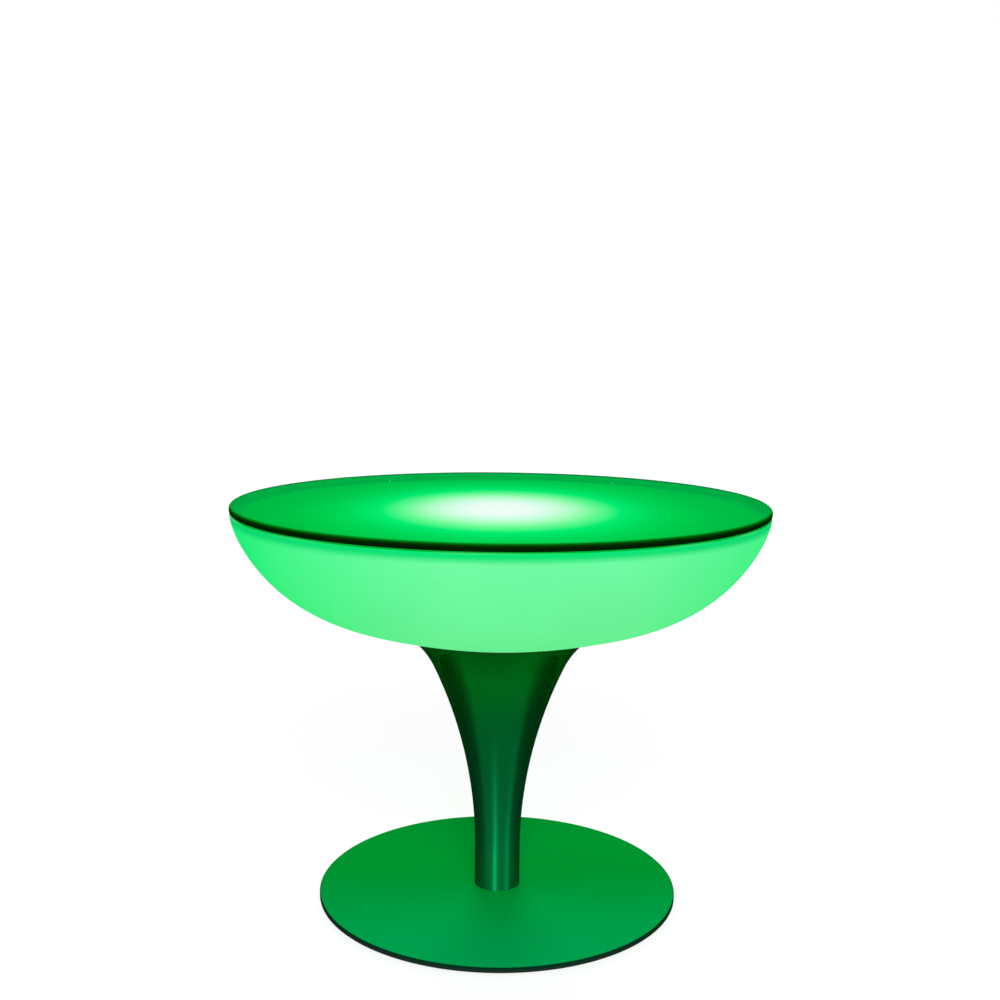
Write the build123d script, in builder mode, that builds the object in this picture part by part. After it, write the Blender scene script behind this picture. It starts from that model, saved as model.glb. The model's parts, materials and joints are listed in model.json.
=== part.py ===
from build123d import *
from math import atan2, cos, degrees, hypot, radians, sin, sqrt
import os

os.makedirs("parts", exist_ok=True)

# A low round lounge table that lights up. From the floor: a steel base plate, a spun column
# flared like a trumpet, a closed milky bowl with the light unit in its floor, and a glass top.
# Millimetres. The origin is the centre of the footprint on the floor, +Z up, -Y the front.

# Overall sizes
table_height = 450.0
top_radius = 295.0

# Clearances and cutting allowance
fit_clearance = 0.3
thread_clearance = 0.1
running_clearance = 0.1
overrun = 5.0

# Glass top and the silicone strips that it lies on
glass_thickness = 8.0
glass_edge_round = 3.0
glass_pad_width = 8.0
glass_pad_thickness = 1.0
glass_pad_margin = 1.0
glass_pad_gap = 2.0
glass_pad_count = 6

# Base plate, its rubber pads and the centre bolt
base_radius = 202.0
base_thickness = 6.0
base_edge_chamfer = 0.8
base_pad_radius = 12.0
base_pad_thickness = 1.5
base_pad_inset = 21.0
base_pad_count = 6
bolt_radius = 5.0
bolt_head_radius = 10.0
bolt_length = 52.0
bolt_key_radius = 3.4
bolt_key_depth = 3.0

# Foot plug and its screws
plug_height = 18.0
plug_chamfer = 1.5
plug_screw_radius = 2.5
plug_screw_head_radius = 5.0
plug_screw_length = 16.0
plug_screw_ring_radius = 16.5
plug_screw_count = 3

# Column
column_wall = 1.5
foot_radius = 25.6
waist_radius = 73.7
lip_inset = 1.0
lip_gasket_width = 4.9
foot_top_share = 0.143
waist_share = 0.864
lip_gasket_thickness = 1.5

# Tie rod and mounting plate
rod_radius = 8.0
rod_end_gap = 3.0
rod_thread_depth = 30.0
plate_thickness = 3.0
plate_screw_offset = 12.0
plate_screw_count = 4
plate_screw_radius = 3.0
plate_screw_flat_radius = 5.0
plate_screw_head_height = 3.3
plate_screw_grip = 9.0
insert_flat_radius = 4.5
insert_length = 10.0

# Bowl: depth from the rim down to the flat seat, and the wall's course between them.
# Each pair of shares is (radius from rim to seat, depth from rim to seat).
bowl_wall = 4.0
bowl_depth = 135.4
seat_margin = 24.0
rim_angle = 9.0
shoulder_share = (0.045, 0.195)
haunch_share = (0.6, 0.851)
rim_round = 1.5
insert_ring_width = 16.0
insert_ring_height = 16.0

# Light unit
housing_wall = 2.5
housing_floor = 3.0
housing_height = 40.0
flange_width = 14.3
flange_thickness = 4.0
housing_seal_thickness = 1.0
housing_seal_inset = 1.5
housing_seal_width = 3.6
housing_screw_offset = 7.8
housing_screw_count = 4
housing_screw_radius = 2.0
housing_screw_head_radius = 4.0
housing_screw_length = 14.0
housing_ring_width = 9.0
housing_ring_height = 14.0
rebate_wall = 1.4
rebate_lip = 1.5
led_board_thickness = 2.0
led_size = 5.0
led_height = 1.6
led_inner_ring_radius = 18.0
led_inner_count = 8
led_outer_ring_radius = 38.0
led_outer_count = 16
diffuser_height = 28.0
diffuser_wall = 2.5
diffuser_shoulder = 3.0
battery_radius = 9.25
battery_length = 65.0
battery_pitch = 19.5
battery_count = 3
battery_button_radius = 3.0
battery_button_height = 1.2
holder_floor = 2.0
holder_wall = 2.0
holder_height = 12.0
board_thickness = 1.6
board_end_margin = 5.0
board_width = 44.0
board_corner = 12.0
board_height = 25.0
pillar_radius = 4.0
pillar_holder_gap = 4.6
pillar_wall_gap = 9.2
board_screw_radius = 1.5
board_screw_head_radius = 2.8
board_screw_head_height = 2.2
board_screw_length = 8.0
chip_length = 14.0
chip_width = 10.0
chip_height = 2.0
receiver_size = 6.0
receiver_height = 5.0

# Control panel under the rear of the bowl
panel_place_radius = 152.0
panel_length = 64.0
panel_width = 36.0
panel_thickness = 3.0
panel_corner = 6.0
panel_edge_chamfer = 0.8
panel_proud = 0.2
panel_seal_thickness = 0.8
panel_backing = 4.0
panel_backing_margin = 6.0
window_length = 44.0
window_width = 24.0
window_corner = 3.0
panel_screw_place = 27.5
panel_screw_radius = 1.5
panel_screw_head_radius = 2.9
panel_screw_length = 6.5
post_radius = 2.6
post_height = 8.0
post_place = 8.0
panel_board_length = 42.0
panel_board_width = 22.4
panel_board_corner = 2.0
post_screw_radius = 1.25
post_screw_head_radius = 2.2
post_screw_head_height = 1.6
post_screw_length = 6.0

# Push button and switch
button_place = -12.5
button_radius = 6.8
button_clearance = 0.2
button_proud = 1.8
button_travel = 1.5
button_dish_radius = 20.0
button_dish_depth = 0.5
button_flange_radius = 8.0
button_flange_thickness = 1.2
button_edge_round = 0.6
plunger_radius = 2.2
plunger_insert = 1.5
switch_size = 12.0
switch_height = 4.3
switch_corner = 1.0

# Charging socket and its rubber plug
socket_place = 13.0
socket_radius = 5.6
socket_flange_radius = 7.2
socket_flange_thickness = 1.2
socket_bore_radius = 3.2
socket_bore_depth = 9.5
socket_pin_radius = 1.0
socket_pin_set_back = 1.0
nut_flat_radius = 7.0
nut_thickness = 2.5
stopper_clearance = 0.1
stopper_stem_length = 7.4
stopper_bore_clearance = 0.3
stopper_cap_radius = 8.0
stopper_cap_thickness = 1.8
stopper_cap_chamfer = 0.8
stopper_tab_length = 9.0
stopper_tab_width = 2.0
stopper_tab_height = 3.0
stopper_tab_round = 0.6

# Lead from the light unit to the panel
gland_radius = 6.0
gland_length = 8.0
gland_height = 26.0
gland_taper = 1.5
gland_pocket_depth = 9.5
gland_pocket_width = 18.0
gland_pocket_height = 15.0
lead_radius = 2.25
lead_straight = 17.0
lead_rise = 10.0
lead_bend = 14.0
connector_length = 10.0
connector_width = 6.0
connector_height = 6.0

# Heights that follow from the sizes above
base_bottom = base_pad_thickness
base_top = base_bottom + base_thickness
glass_bottom = table_height - glass_thickness
rim_height = glass_bottom - glass_pad_thickness
seat_height = rim_height - bowl_depth
lip_height = seat_height - lip_gasket_thickness
plate_bottom = seat_height - plate_thickness
deck_underside = rim_height - bowl_wall
flange_seat = seat_height + flange_thickness + housing_seal_thickness
housing_top = seat_height + housing_height
led_board_bottom = housing_top - rebate_lip - led_board_thickness
led_board_top = led_board_bottom + led_board_thickness
holder_bottom = seat_height + housing_floor
battery_axis_height = holder_bottom + holder_floor + battery_radius + running_clearance
board_bottom = holder_bottom + board_height
board_top = board_bottom + board_thickness

# Radii that follow: the battery sets the tub's size, the tub the screws round it, and these the seat
glass_pad_outer_radius = top_radius - glass_edge_round - glass_pad_margin
glass_pad_ring_radius = glass_pad_outer_radius - glass_pad_width / 2
base_pad_ring_radius = base_radius - base_pad_inset
battery_room = battery_length + battery_button_height + 2 * fit_clearance
holder_length = battery_room + 2 * holder_wall
pillar_ring_radius = holder_length / 2 + pillar_holder_gap + pillar_radius
housing_inner_radius = pillar_ring_radius + pillar_radius + pillar_wall_gap
housing_radius = housing_inner_radius + housing_wall
rebate_radius = housing_radius - rebate_wall
board_length = 2 * (pillar_ring_radius + board_end_margin)
flange_radius = housing_radius + flange_width
housing_screw_ring_radius = housing_radius + housing_screw_offset
plate_screw_ring_radius = flange_radius + plate_screw_offset
seat_radius = plate_screw_ring_radius + seat_margin
lip_radius = seat_radius - lip_inset


def steepness(start, end):
    """Angle in degrees between the line from start to end and the vertical."""
    return degrees(atan2(abs(start[0] - end[0]), abs(start[1] - end[1])))


def tangent_chain(points, first_angle):
    """Wall angle at each point of a chain of arcs that run smoothly into each other."""
    angles = [first_angle]
    for start, end in zip(points, points[1:]):
        angles.append(2 * steepness(start, end) - angles[-1])
    return angles


def set_back(points, angles, distance):
    """The same chain moved inwards by the wall's thickness."""
    return [
        (r - distance * cos(radians(angle)), z + distance * sin(radians(angle)))
        for (r, z), angle in zip(points, angles)
    ]


def arc_radius(start, end, start_angle, end_angle):
    """Radius of the arc between two points of a chain."""
    chord = hypot(start[0] - end[0], start[1] - end[1])
    return chord / (2 * sin(radians(abs(end_angle - start_angle) / 2)))


def draw_chain(points, angles):
    """Draw the chain of arcs from its upper end down."""
    for start, end, angle in zip(points, points[1:], angles):
        TangentArc(start, end, tangent=(-sin(radians(angle)), -cos(radians(angle))))


# Bowl wall, from the rim down to the edge of the flat seat
bowl_points = [
    (
        top_radius - radius_share * (top_radius - seat_radius),
        rim_height - depth_share * bowl_depth,
    )
    for radius_share, depth_share in ((0, 0), shoulder_share, haunch_share, (1, 1))
]
bowl_angles = tangent_chain(bowl_points, rim_angle)
bowl_inside = set_back(bowl_points, bowl_angles, bowl_wall)

# Column wall, from the top of the straight foot up to the lip
column_height = lip_height - base_top
column_points = [
    (foot_radius, base_top + foot_top_share * column_height),
    (waist_radius, base_top + waist_share * column_height),
    (lip_radius, lip_height),
]
column_angles = tangent_chain(column_points, 0)
column_inside = set_back(column_points, column_angles, column_wall)

# Circle of the column's flare, inside face, and its radius where the mounting plate sits
flare_radius = arc_radius(*column_points[1:], *column_angles[1:])
lip_lean = radians(column_angles[2])
flare_centre_r = lip_radius + flare_radius * cos(lip_lean)
flare_centre_z = lip_height - flare_radius * sin(lip_lean)
flare_drop = plate_bottom - flare_centre_z
mouth_radius = flare_centre_r - sqrt((flare_radius + column_wall) ** 2 - flare_drop**2)
gasket_inner_radius = lip_radius - lip_gasket_width
plate_radius = min(mouth_radius, gasket_inner_radius) - fit_clearance

# Face of the control panel: a plane that touches the bowl's underside at the rear
belly_radius = arc_radius(*bowl_points[2:], *bowl_angles[2:])
seat_lean = radians(bowl_angles[3])
belly_centre_r = seat_radius - belly_radius * cos(seat_lean)
belly_centre_z = seat_height + belly_radius * sin(seat_lean)
panel_reach = (panel_place_radius - belly_centre_r) / belly_radius
panel_drop = sqrt(1 - panel_reach**2)
panel_face = Plane(
    origin=(0, panel_place_radius, belly_centre_z - belly_radius * panel_drop),
    x_dir=(1, 0, 0),
    z_dir=(0, panel_reach, -panel_drop),
)

# Levels along the panel's normal, outwards positive
panel_front = panel_proud
panel_back = panel_front - panel_thickness
pocket_floor = panel_back - panel_seal_thickness
board_face = panel_back - post_height
board_back = board_face - board_thickness
button_front = panel_front + button_proud
button_flange_front = panel_back - running_clearance
button_back = button_flange_front - button_flange_thickness
switch_front = board_face + switch_height
socket_front = panel_front + socket_flange_thickness
socket_bore_floor = socket_front - socket_bore_depth
connector_back = board_back - connector_height


def countersunk_screw(radius, head_radius, length):
    """Screw whose flat head lies on Z = 0, pointing up."""
    with BuildPart() as screw:
        with BuildSketch():
            Circle(radius)
        extrude(amount=length)
        with BuildSketch():
            Circle(head_radius)
        extrude(amount=head_radius - radius, taper=45)
    return screw.part


def cap_screw(radius, head_radius, head_height, length):
    """Screw whose round head hangs below Z = 0, pointing up."""
    with BuildPart() as screw:
        with BuildSketch():
            Circle(radius)
        extrude(amount=length)
        with BuildSketch():
            Circle(head_radius)
        extrude(amount=-head_height)
    return screw.part


def hex_screw(radius, flat_radius, head_height, length):
    """Screw whose hexagon head hangs below Z = 0, pointing up."""
    with BuildPart() as screw:
        with BuildSketch():
            Circle(radius)
        extrude(amount=length)
        with BuildSketch():
            RegularPolygon(flat_radius, 6, major_radius=False)
        extrude(amount=-head_height)
    return screw.part


def floor_ring(circle_radius, width):
    """Sketch of a ring of that width over a circle of screws."""
    with BuildSketch() as ring:
        Circle(circle_radius + width / 2)
        Circle(circle_radius - width / 2, mode=Mode.SUBTRACT)
    return ring.sketch


# Base plate with countersunk holes from below
with BuildPart() as base_plate:
    with BuildSketch(Plane.XY.offset(base_bottom)):
        Circle(base_radius)
    extrude(amount=base_thickness)
    chamfer(base_plate.edges().filter_by(GeomType.CIRCLE), base_edge_chamfer)
    with Locations(Plane(origin=(0, 0, base_bottom), x_dir=(1, 0, 0), z_dir=(0, 0, -1))):
        CounterSinkHole(
            bolt_radius + fit_clearance,
            bolt_head_radius + fit_clearance,
            counter_sink_angle=90,
        )
        with PolarLocations(plug_screw_ring_radius, plug_screw_count):
            CounterSinkHole(
                plug_screw_radius + fit_clearance,
                plug_screw_head_radius + fit_clearance,
                counter_sink_angle=90,
            )
base_plate.part.label = "base_plate"
export_step(base_plate.part, "parts/base_plate.step")

# Rubber pads under the base plate
with BuildPart() as base_pads:
    with BuildSketch():
        with PolarLocations(base_pad_ring_radius, base_pad_count):
            Circle(base_pad_radius)
    extrude(amount=base_pad_thickness)
base_pads.part.label = "base_pads"
export_step(base_pads.part, "parts/base_pads.step")

# Centre bolt, countersunk, with a hexagon socket
with BuildPart() as base_bolt:
    with Locations((0, 0, base_bottom)):
        add(countersunk_screw(bolt_radius, bolt_head_radius, bolt_length))
    with BuildSketch(Plane.XY.offset(base_bottom)):
        RegularPolygon(bolt_key_radius, 6)
    extrude(amount=bolt_key_depth, mode=Mode.SUBTRACT)
base_bolt.part.label = "base_bolt"
export_step(base_bolt.part, "parts/base_bolt.step")

# Foot plug inside the column's foot
with BuildPart() as foot_plug:
    with BuildSketch(Plane.XY.offset(base_top)):
        Circle(foot_radius - column_wall - fit_clearance)
        Circle(bolt_radius + fit_clearance, mode=Mode.SUBTRACT)
        with PolarLocations(plug_screw_ring_radius, plug_screw_count):
            Circle(plug_screw_radius + thread_clearance, mode=Mode.SUBTRACT)
    extrude(amount=plug_height)
    chamfer(foot_plug.edges().group_by(Axis.Z)[-1].sort_by(SortBy.LENGTH)[-1], plug_chamfer)
foot_plug.part.label = "foot_plug"
export_step(foot_plug.part, "parts/foot_plug.step")

# Screws that hold the foot plug, from under the base plate
with BuildPart() as foot_plug_screws:
    with Locations((0, 0, base_bottom)):
        with PolarLocations(plug_screw_ring_radius, plug_screw_count):
            add(countersunk_screw(plug_screw_radius, plug_screw_head_radius, plug_screw_length))
foot_plug_screws.part.label = "foot_plug_screws"
export_step(foot_plug_screws.part, "parts/foot_plug_screws.step")

# Spun column: straight foot, long sweep, tighter flare, trimmed level at the lip
with BuildPart() as trumpet_column:
    with BuildSketch(Plane.XZ):
        with BuildLine():
            Line((foot_radius, base_top), column_points[0])
            draw_chain(column_points[::-1], column_angles[::-1])
            Line(column_points[2], column_inside[2])
            draw_chain(column_inside[::-1], column_angles[::-1])
            Line(column_inside[0], (foot_radius - column_wall, base_top))
            Line((foot_radius - column_wall, base_top), (foot_radius, base_top))
        make_face()
        with Locations((0, lip_height)):
            Rectangle(
                2 * lip_radius,
                2 * column_wall,
                align=(Align.MIN, Align.MIN),
                mode=Mode.SUBTRACT,
            )
    revolve(axis=Axis.Z)
trumpet_column.part.label = "trumpet_column"
export_step(trumpet_column.part, "parts/trumpet_column.step")

# Tie rod, welded to the mounting plate and tapped at its foot
rod_bottom = base_top + plug_height + rod_end_gap
with BuildPart() as tie_rod:
    with BuildSketch(Plane.XY.offset(rod_bottom)):
        Circle(rod_radius)
    extrude(amount=plate_bottom - rod_bottom)
    with BuildSketch(Plane.XY.offset(rod_bottom)):
        Circle(bolt_radius + thread_clearance)
    extrude(amount=rod_thread_depth, mode=Mode.SUBTRACT)
tie_rod.part.label = "tie_rod"
export_step(tie_rod.part, "parts/tie_rod.step")

# Plate screws stand half a step round from the light unit's screws
plate_screw_turn = 180 / plate_screw_count

# Mounting plate in the mouth of the column
with BuildPart() as mounting_plate:
    with BuildSketch(Plane.XY.offset(plate_bottom)):
        Circle(plate_radius)
        with PolarLocations(plate_screw_ring_radius, plate_screw_count, plate_screw_turn):
            Circle(plate_screw_radius + fit_clearance, mode=Mode.SUBTRACT)
    extrude(amount=plate_thickness)
mounting_plate.part.label = "mounting_plate"
export_step(mounting_plate.part, "parts/mounting_plate.step")

# Screws up through the mounting plate into the bowl's brass threads
with BuildPart() as mounting_screws:
    with Locations((0, 0, plate_bottom)):
        with PolarLocations(plate_screw_ring_radius, plate_screw_count, plate_screw_turn):
            add(
                hex_screw(
                    plate_screw_radius,
                    plate_screw_flat_radius,
                    plate_screw_head_height,
                    plate_thickness + plate_screw_grip,
                )
            )
mounting_screws.part.label = "mounting_screws"
export_step(mounting_screws.part, "parts/mounting_screws.step")

# Rubber ring between the column's lip and the bowl
with BuildPart() as lip_gasket:
    with BuildSketch(Plane.XY.offset(lip_height)):
        Circle(lip_radius)
        Circle(gasket_inner_radius, mode=Mode.SUBTRACT)
    extrude(amount=lip_gasket_thickness)
lip_gasket.part.label = "lip_gasket"
export_step(lip_gasket.part, "parts/lip_gasket.step")

# Hexagonal brass threads, moulded into the bowl's floor
with BuildPart() as bowl_inserts:
    with BuildSketch(Plane.XY.offset(seat_height)):
        with PolarLocations(plate_screw_ring_radius, plate_screw_count, plate_screw_turn):
            RegularPolygon(insert_flat_radius, 6, major_radius=False)
            Circle(plate_screw_radius + thread_clearance, mode=Mode.SUBTRACT)
    extrude(amount=insert_length)
bowl_inserts.part.label = "bowl_inserts"
export_step(bowl_inserts.part, "parts/bowl_inserts.step")

# Closed bowl with an even wall, a flat deck, and a raised floor for the light unit.
# Two thick rings in the floor take the screws of the tub and of the mounting plate.
bowl_floor = bowl_inside[3][1]
raised_floor = flange_seat + bowl_wall
recess_radius = flange_radius + fit_clearance
housing_hole_radius = housing_radius + fit_clearance
with BuildPart() as light_bowl:
    with BuildSketch(Plane.XZ) as bowl_outline:
        with BuildLine():
            Line((0, rim_height), bowl_points[0])
            draw_chain(bowl_points, bowl_angles)
            Line(bowl_points[3], (0, seat_height))
            Line((0, seat_height), (0, rim_height))
        make_face()
        fillet(bowl_outline.vertices().sort_by(Axis.X)[-1], rim_round)
    revolve(axis=Axis.Z)
    with BuildSketch(Plane.XZ):
        with BuildLine():
            Line((0, bowl_inside[0][1]), bowl_inside[0])
            draw_chain(bowl_inside, bowl_angles)
            Line(bowl_inside[3], (0, bowl_floor))
            Line((0, bowl_floor), (0, bowl_inside[0][1]))
        make_face()
        with Locations((0, deck_underside)):
            Rectangle(
                top_radius,
                2 * bowl_wall,
                align=(Align.MIN, Align.MIN),
                mode=Mode.SUBTRACT,
            )
    revolve(axis=Axis.Z, mode=Mode.SUBTRACT)
    with BuildSketch(Plane.XY.offset(seat_height)):
        Circle(recess_radius + bowl_wall)
    extrude(amount=raised_floor - seat_height)
    with BuildSketch(Plane.XY.offset(seat_height)):
        add(floor_ring(housing_screw_ring_radius, housing_ring_width))
    extrude(amount=flange_seat + housing_ring_height - seat_height)
    with BuildSketch(Plane.XY.offset(seat_height)):
        add(floor_ring(plate_screw_ring_radius, insert_ring_width))
    extrude(amount=insert_ring_height)
    with BuildSketch(panel_face.offset(pocket_floor)):
        RectangleRounded(
            panel_length + 2 * panel_backing_margin,
            panel_width + 2 * panel_backing_margin,
            panel_corner + panel_backing_margin,
        )
    extrude(amount=-panel_backing)
    with BuildSketch(Plane.XY.offset(seat_height)):
        Circle(recess_radius)
    extrude(amount=flange_seat - seat_height, mode=Mode.SUBTRACT)
    with BuildSketch(Plane.XY.offset(seat_height)):
        Circle(housing_hole_radius)
    extrude(amount=raised_floor - seat_height + overrun, mode=Mode.SUBTRACT)
    with BuildSketch(Plane.XY.offset(seat_height)):
        with PolarLocations(housing_screw_ring_radius, housing_screw_count):
            Circle(housing_screw_radius + thread_clearance)
    extrude(amount=housing_screw_length + fit_clearance, mode=Mode.SUBTRACT)
    with BuildSketch(Plane.XY.offset(seat_height)):
        with PolarLocations(plate_screw_ring_radius, plate_screw_count, plate_screw_turn):
            RegularPolygon(insert_flat_radius, 6, major_radius=False)
    extrude(amount=insert_length, mode=Mode.SUBTRACT)
    with BuildSketch(panel_face.offset(pocket_floor)):
        RectangleRounded(
            panel_length + 2 * fit_clearance,
            panel_width + 2 * fit_clearance,
            panel_corner + fit_clearance,
        )
    extrude(amount=overrun - pocket_floor, mode=Mode.SUBTRACT)
    with BuildSketch(panel_face.offset(pocket_floor)):
        RectangleRounded(window_length, window_width, window_corner)
    extrude(amount=-panel_backing - overrun, mode=Mode.SUBTRACT)
    with BuildSketch(panel_face.offset(panel_front)):
        with GridLocations(2 * panel_screw_place, panel_screw_place, 2, 1):
            Circle(panel_screw_radius + thread_clearance)
    extrude(amount=-panel_screw_length - fit_clearance, mode=Mode.SUBTRACT)
light_bowl.part.label = "light_bowl"
export_step(light_bowl.part, "parts/light_bowl.step")

# Tub of the light unit: flange below, rebate for the lamp board above, and a pocket for the lead
gland_level = seat_height + gland_height
pocket_back = housing_radius - gland_pocket_depth
with BuildPart() as led_housing:
    with BuildSketch(Plane.XY.offset(seat_height)):
        Circle(housing_radius)
    extrude(amount=housing_height)
    with BuildSketch(Plane.XY.offset(seat_height)):
        Circle(flange_radius)
    extrude(amount=flange_thickness)
    with BuildSketch(Plane.XY.offset(holder_bottom)):
        Circle(housing_inner_radius)
    extrude(amount=housing_height, mode=Mode.SUBTRACT)
    with BuildSketch(Plane.XY.offset(led_board_bottom)):
        Circle(rebate_radius)
    extrude(amount=housing_height, mode=Mode.SUBTRACT)
    with BuildSketch(Plane.XZ.offset(-pocket_back + housing_wall)):
        with Locations((0, gland_level)):
            Rectangle(
                gland_pocket_width + 2 * housing_wall,
                gland_pocket_height + 2 * housing_wall,
            )
    extrude(amount=-gland_pocket_depth)
    with BuildSketch(Plane.XZ.offset(-pocket_back)):
        with Locations((0, gland_level)):
            Rectangle(gland_pocket_width, gland_pocket_height)
    extrude(amount=-gland_pocket_depth - overrun, mode=Mode.SUBTRACT)
    with BuildSketch(Plane.XY.offset(holder_bottom)):
        with PolarLocations(pillar_ring_radius, 2):
            Circle(pillar_radius)
    extrude(amount=board_height)
    with BuildSketch(Plane.XY.offset(board_bottom)):
        with PolarLocations(pillar_ring_radius, 2):
            Circle(board_screw_radius + thread_clearance)
    extrude(amount=-board_screw_length, mode=Mode.SUBTRACT)
    with Locations(Plane(origin=(0, 0, seat_height), x_dir=(1, 0, 0), z_dir=(0, 0, -1))):
        with PolarLocations(housing_screw_ring_radius, housing_screw_count):
            CounterSinkHole(
                housing_screw_radius + fit_clearance,
                housing_screw_head_radius + fit_clearance,
                depth=flange_thickness + overrun,
                counter_sink_angle=90,
            )
led_housing.part.label = "led_housing"
export_step(led_housing.part, "parts/led_housing.step")

# Seal between the tub's flange and the bowl, inside the circle of screws
with BuildPart() as housing_seal:
    with BuildSketch(Plane.XY.offset(seat_height + flange_thickness)):
        Circle(housing_radius + housing_seal_inset + housing_seal_width)
        Circle(housing_radius + housing_seal_inset, mode=Mode.SUBTRACT)
    extrude(amount=housing_seal_thickness)
housing_seal.part.label = "housing_seal"
export_step(housing_seal.part, "parts/housing_seal.step")

# Screws that hold the tub in the bowl's floor
with BuildPart() as housing_screws:
    with Locations((0, 0, seat_height)):
        with PolarLocations(housing_screw_ring_radius, housing_screw_count):
            add(
                countersunk_screw(
                    housing_screw_radius, housing_screw_head_radius, housing_screw_length
                )
            )
housing_screws.part.label = "housing_screws"
export_step(housing_screws.part, "parts/housing_screws.step")

# Battery cells lying side by side along X, each with its raised terminal
with BuildPart() as battery_cells:
    with BuildSketch(Plane.YZ.offset(-battery_room / 2 + fit_clearance)):
        with Locations((0, battery_axis_height)):
            with GridLocations(battery_pitch, battery_pitch, battery_count, 1):
                Circle(battery_radius)
    extrude(amount=battery_length)
    with BuildSketch(Plane.YZ.offset(-battery_room / 2 + fit_clearance)):
        with Locations((0, battery_axis_height)):
            with GridLocations(battery_pitch, battery_pitch, battery_count, 1):
                Circle(battery_button_radius)
    extrude(amount=battery_length + battery_button_height)
battery_cells.part.label = "battery_cells"
export_step(battery_cells.part, "parts/battery_cells.step")

# Cradle with a round trough for each cell, deep enough to snap over it
with BuildPart() as battery_holder:
    with BuildSketch(Plane.XY.offset(holder_bottom)):
        Rectangle(
            holder_length,
            (battery_count - 1) * battery_pitch + 2 * (battery_radius + holder_wall),
        )
    extrude(amount=holder_height)
    with BuildSketch(Plane.YZ.offset(-battery_room / 2)):
        with Locations((0, battery_axis_height)):
            with GridLocations(battery_pitch, battery_pitch, battery_count, 1):
                Circle(battery_radius + running_clearance)
    extrude(amount=battery_room, mode=Mode.SUBTRACT)
battery_holder.part.label = "battery_holder"
export_step(battery_holder.part, "parts/battery_holder.step")

# Control board over the cells, with its chips and a remote-control receiver
with BuildPart() as control_board:
    with BuildSketch(Plane.XY.offset(board_bottom)):
        RectangleRounded(board_length, board_width, board_corner)
        with PolarLocations(pillar_ring_radius, 2):
            Circle(board_screw_radius + fit_clearance, mode=Mode.SUBTRACT)
    extrude(amount=board_thickness)
    with BuildSketch(Plane.XY.offset(board_top)):
        with GridLocations(2 * chip_length, chip_width, 2, 1):
            Rectangle(chip_length, chip_width)
    extrude(amount=chip_height)
    with BuildSketch(Plane.XY.offset(board_top)):
        Rectangle(receiver_size, receiver_size)
    extrude(amount=receiver_height)
control_board.part.label = "control_board"
export_step(control_board.part, "parts/control_board.step")

# Screws that hold the control board on its pillars
with BuildPart() as board_screws:
    with Locations(Plane(origin=(0, 0, board_top), x_dir=(1, 0, 0), z_dir=(0, 0, -1))):
        with PolarLocations(pillar_ring_radius, 2):
            add(
                cap_screw(
                    board_screw_radius,
                    board_screw_head_radius,
                    board_screw_head_height,
                    board_screw_length,
                )
            )
board_screws.part.label = "board_screws"
export_step(board_screws.part, "parts/board_screws.step")

# Round lamp board on the tub's rebate
with BuildPart() as led_board:
    with BuildSketch(Plane.XY.offset(led_board_bottom)):
        Circle(rebate_radius - fit_clearance)
    extrude(amount=led_board_thickness)
led_board.part.label = "led_board"
export_step(led_board.part, "parts/led_board.step")

# Square lamps in two rings
with BuildPart() as leds:
    with BuildSketch(Plane.XY.offset(led_board_top)):
        with PolarLocations(led_inner_ring_radius, led_inner_count):
            Rectangle(led_size, led_size)
        with PolarLocations(led_outer_ring_radius, led_outer_count):
            Rectangle(led_size, led_size)
    extrude(amount=led_height)
leds.part.label = "leds"
export_step(leds.part, "parts/leds.step")

# Frosted dome: it stands on the tub's rim and its spigot holds the lamp board down
dome_base = housing_top + diffuser_shoulder
dome_inner_radius = housing_radius - diffuser_wall
with BuildPart() as led_diffuser:
    with BuildSketch(Plane.XZ):
        with BuildLine():
            Line((housing_radius, housing_top), (housing_radius, dome_base))
            TangentArc(
                (0, housing_top + diffuser_height), (housing_radius, dome_base), tangent=(1, 0)
            )
            Line(
                (0, housing_top + diffuser_height),
                (0, housing_top + diffuser_height - diffuser_wall),
            )
            TangentArc(
                (0, housing_top + diffuser_height - diffuser_wall),
                (dome_inner_radius, dome_base),
                tangent=(1, 0),
            )
            Line((dome_inner_radius, dome_base), (dome_inner_radius, led_board_top))
            Line(
                (dome_inner_radius, led_board_top),
                (rebate_radius - fit_clearance, led_board_top),
            )
            Line(
                (rebate_radius - fit_clearance, led_board_top),
                (rebate_radius - fit_clearance, housing_top),
            )
            Line((rebate_radius - fit_clearance, housing_top), (housing_radius, housing_top))
        make_face()
    revolve(axis=Axis.Z)
led_diffuser.part.label = "led_diffuser"
export_step(led_diffuser.part, "parts/led_diffuser.step")

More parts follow.
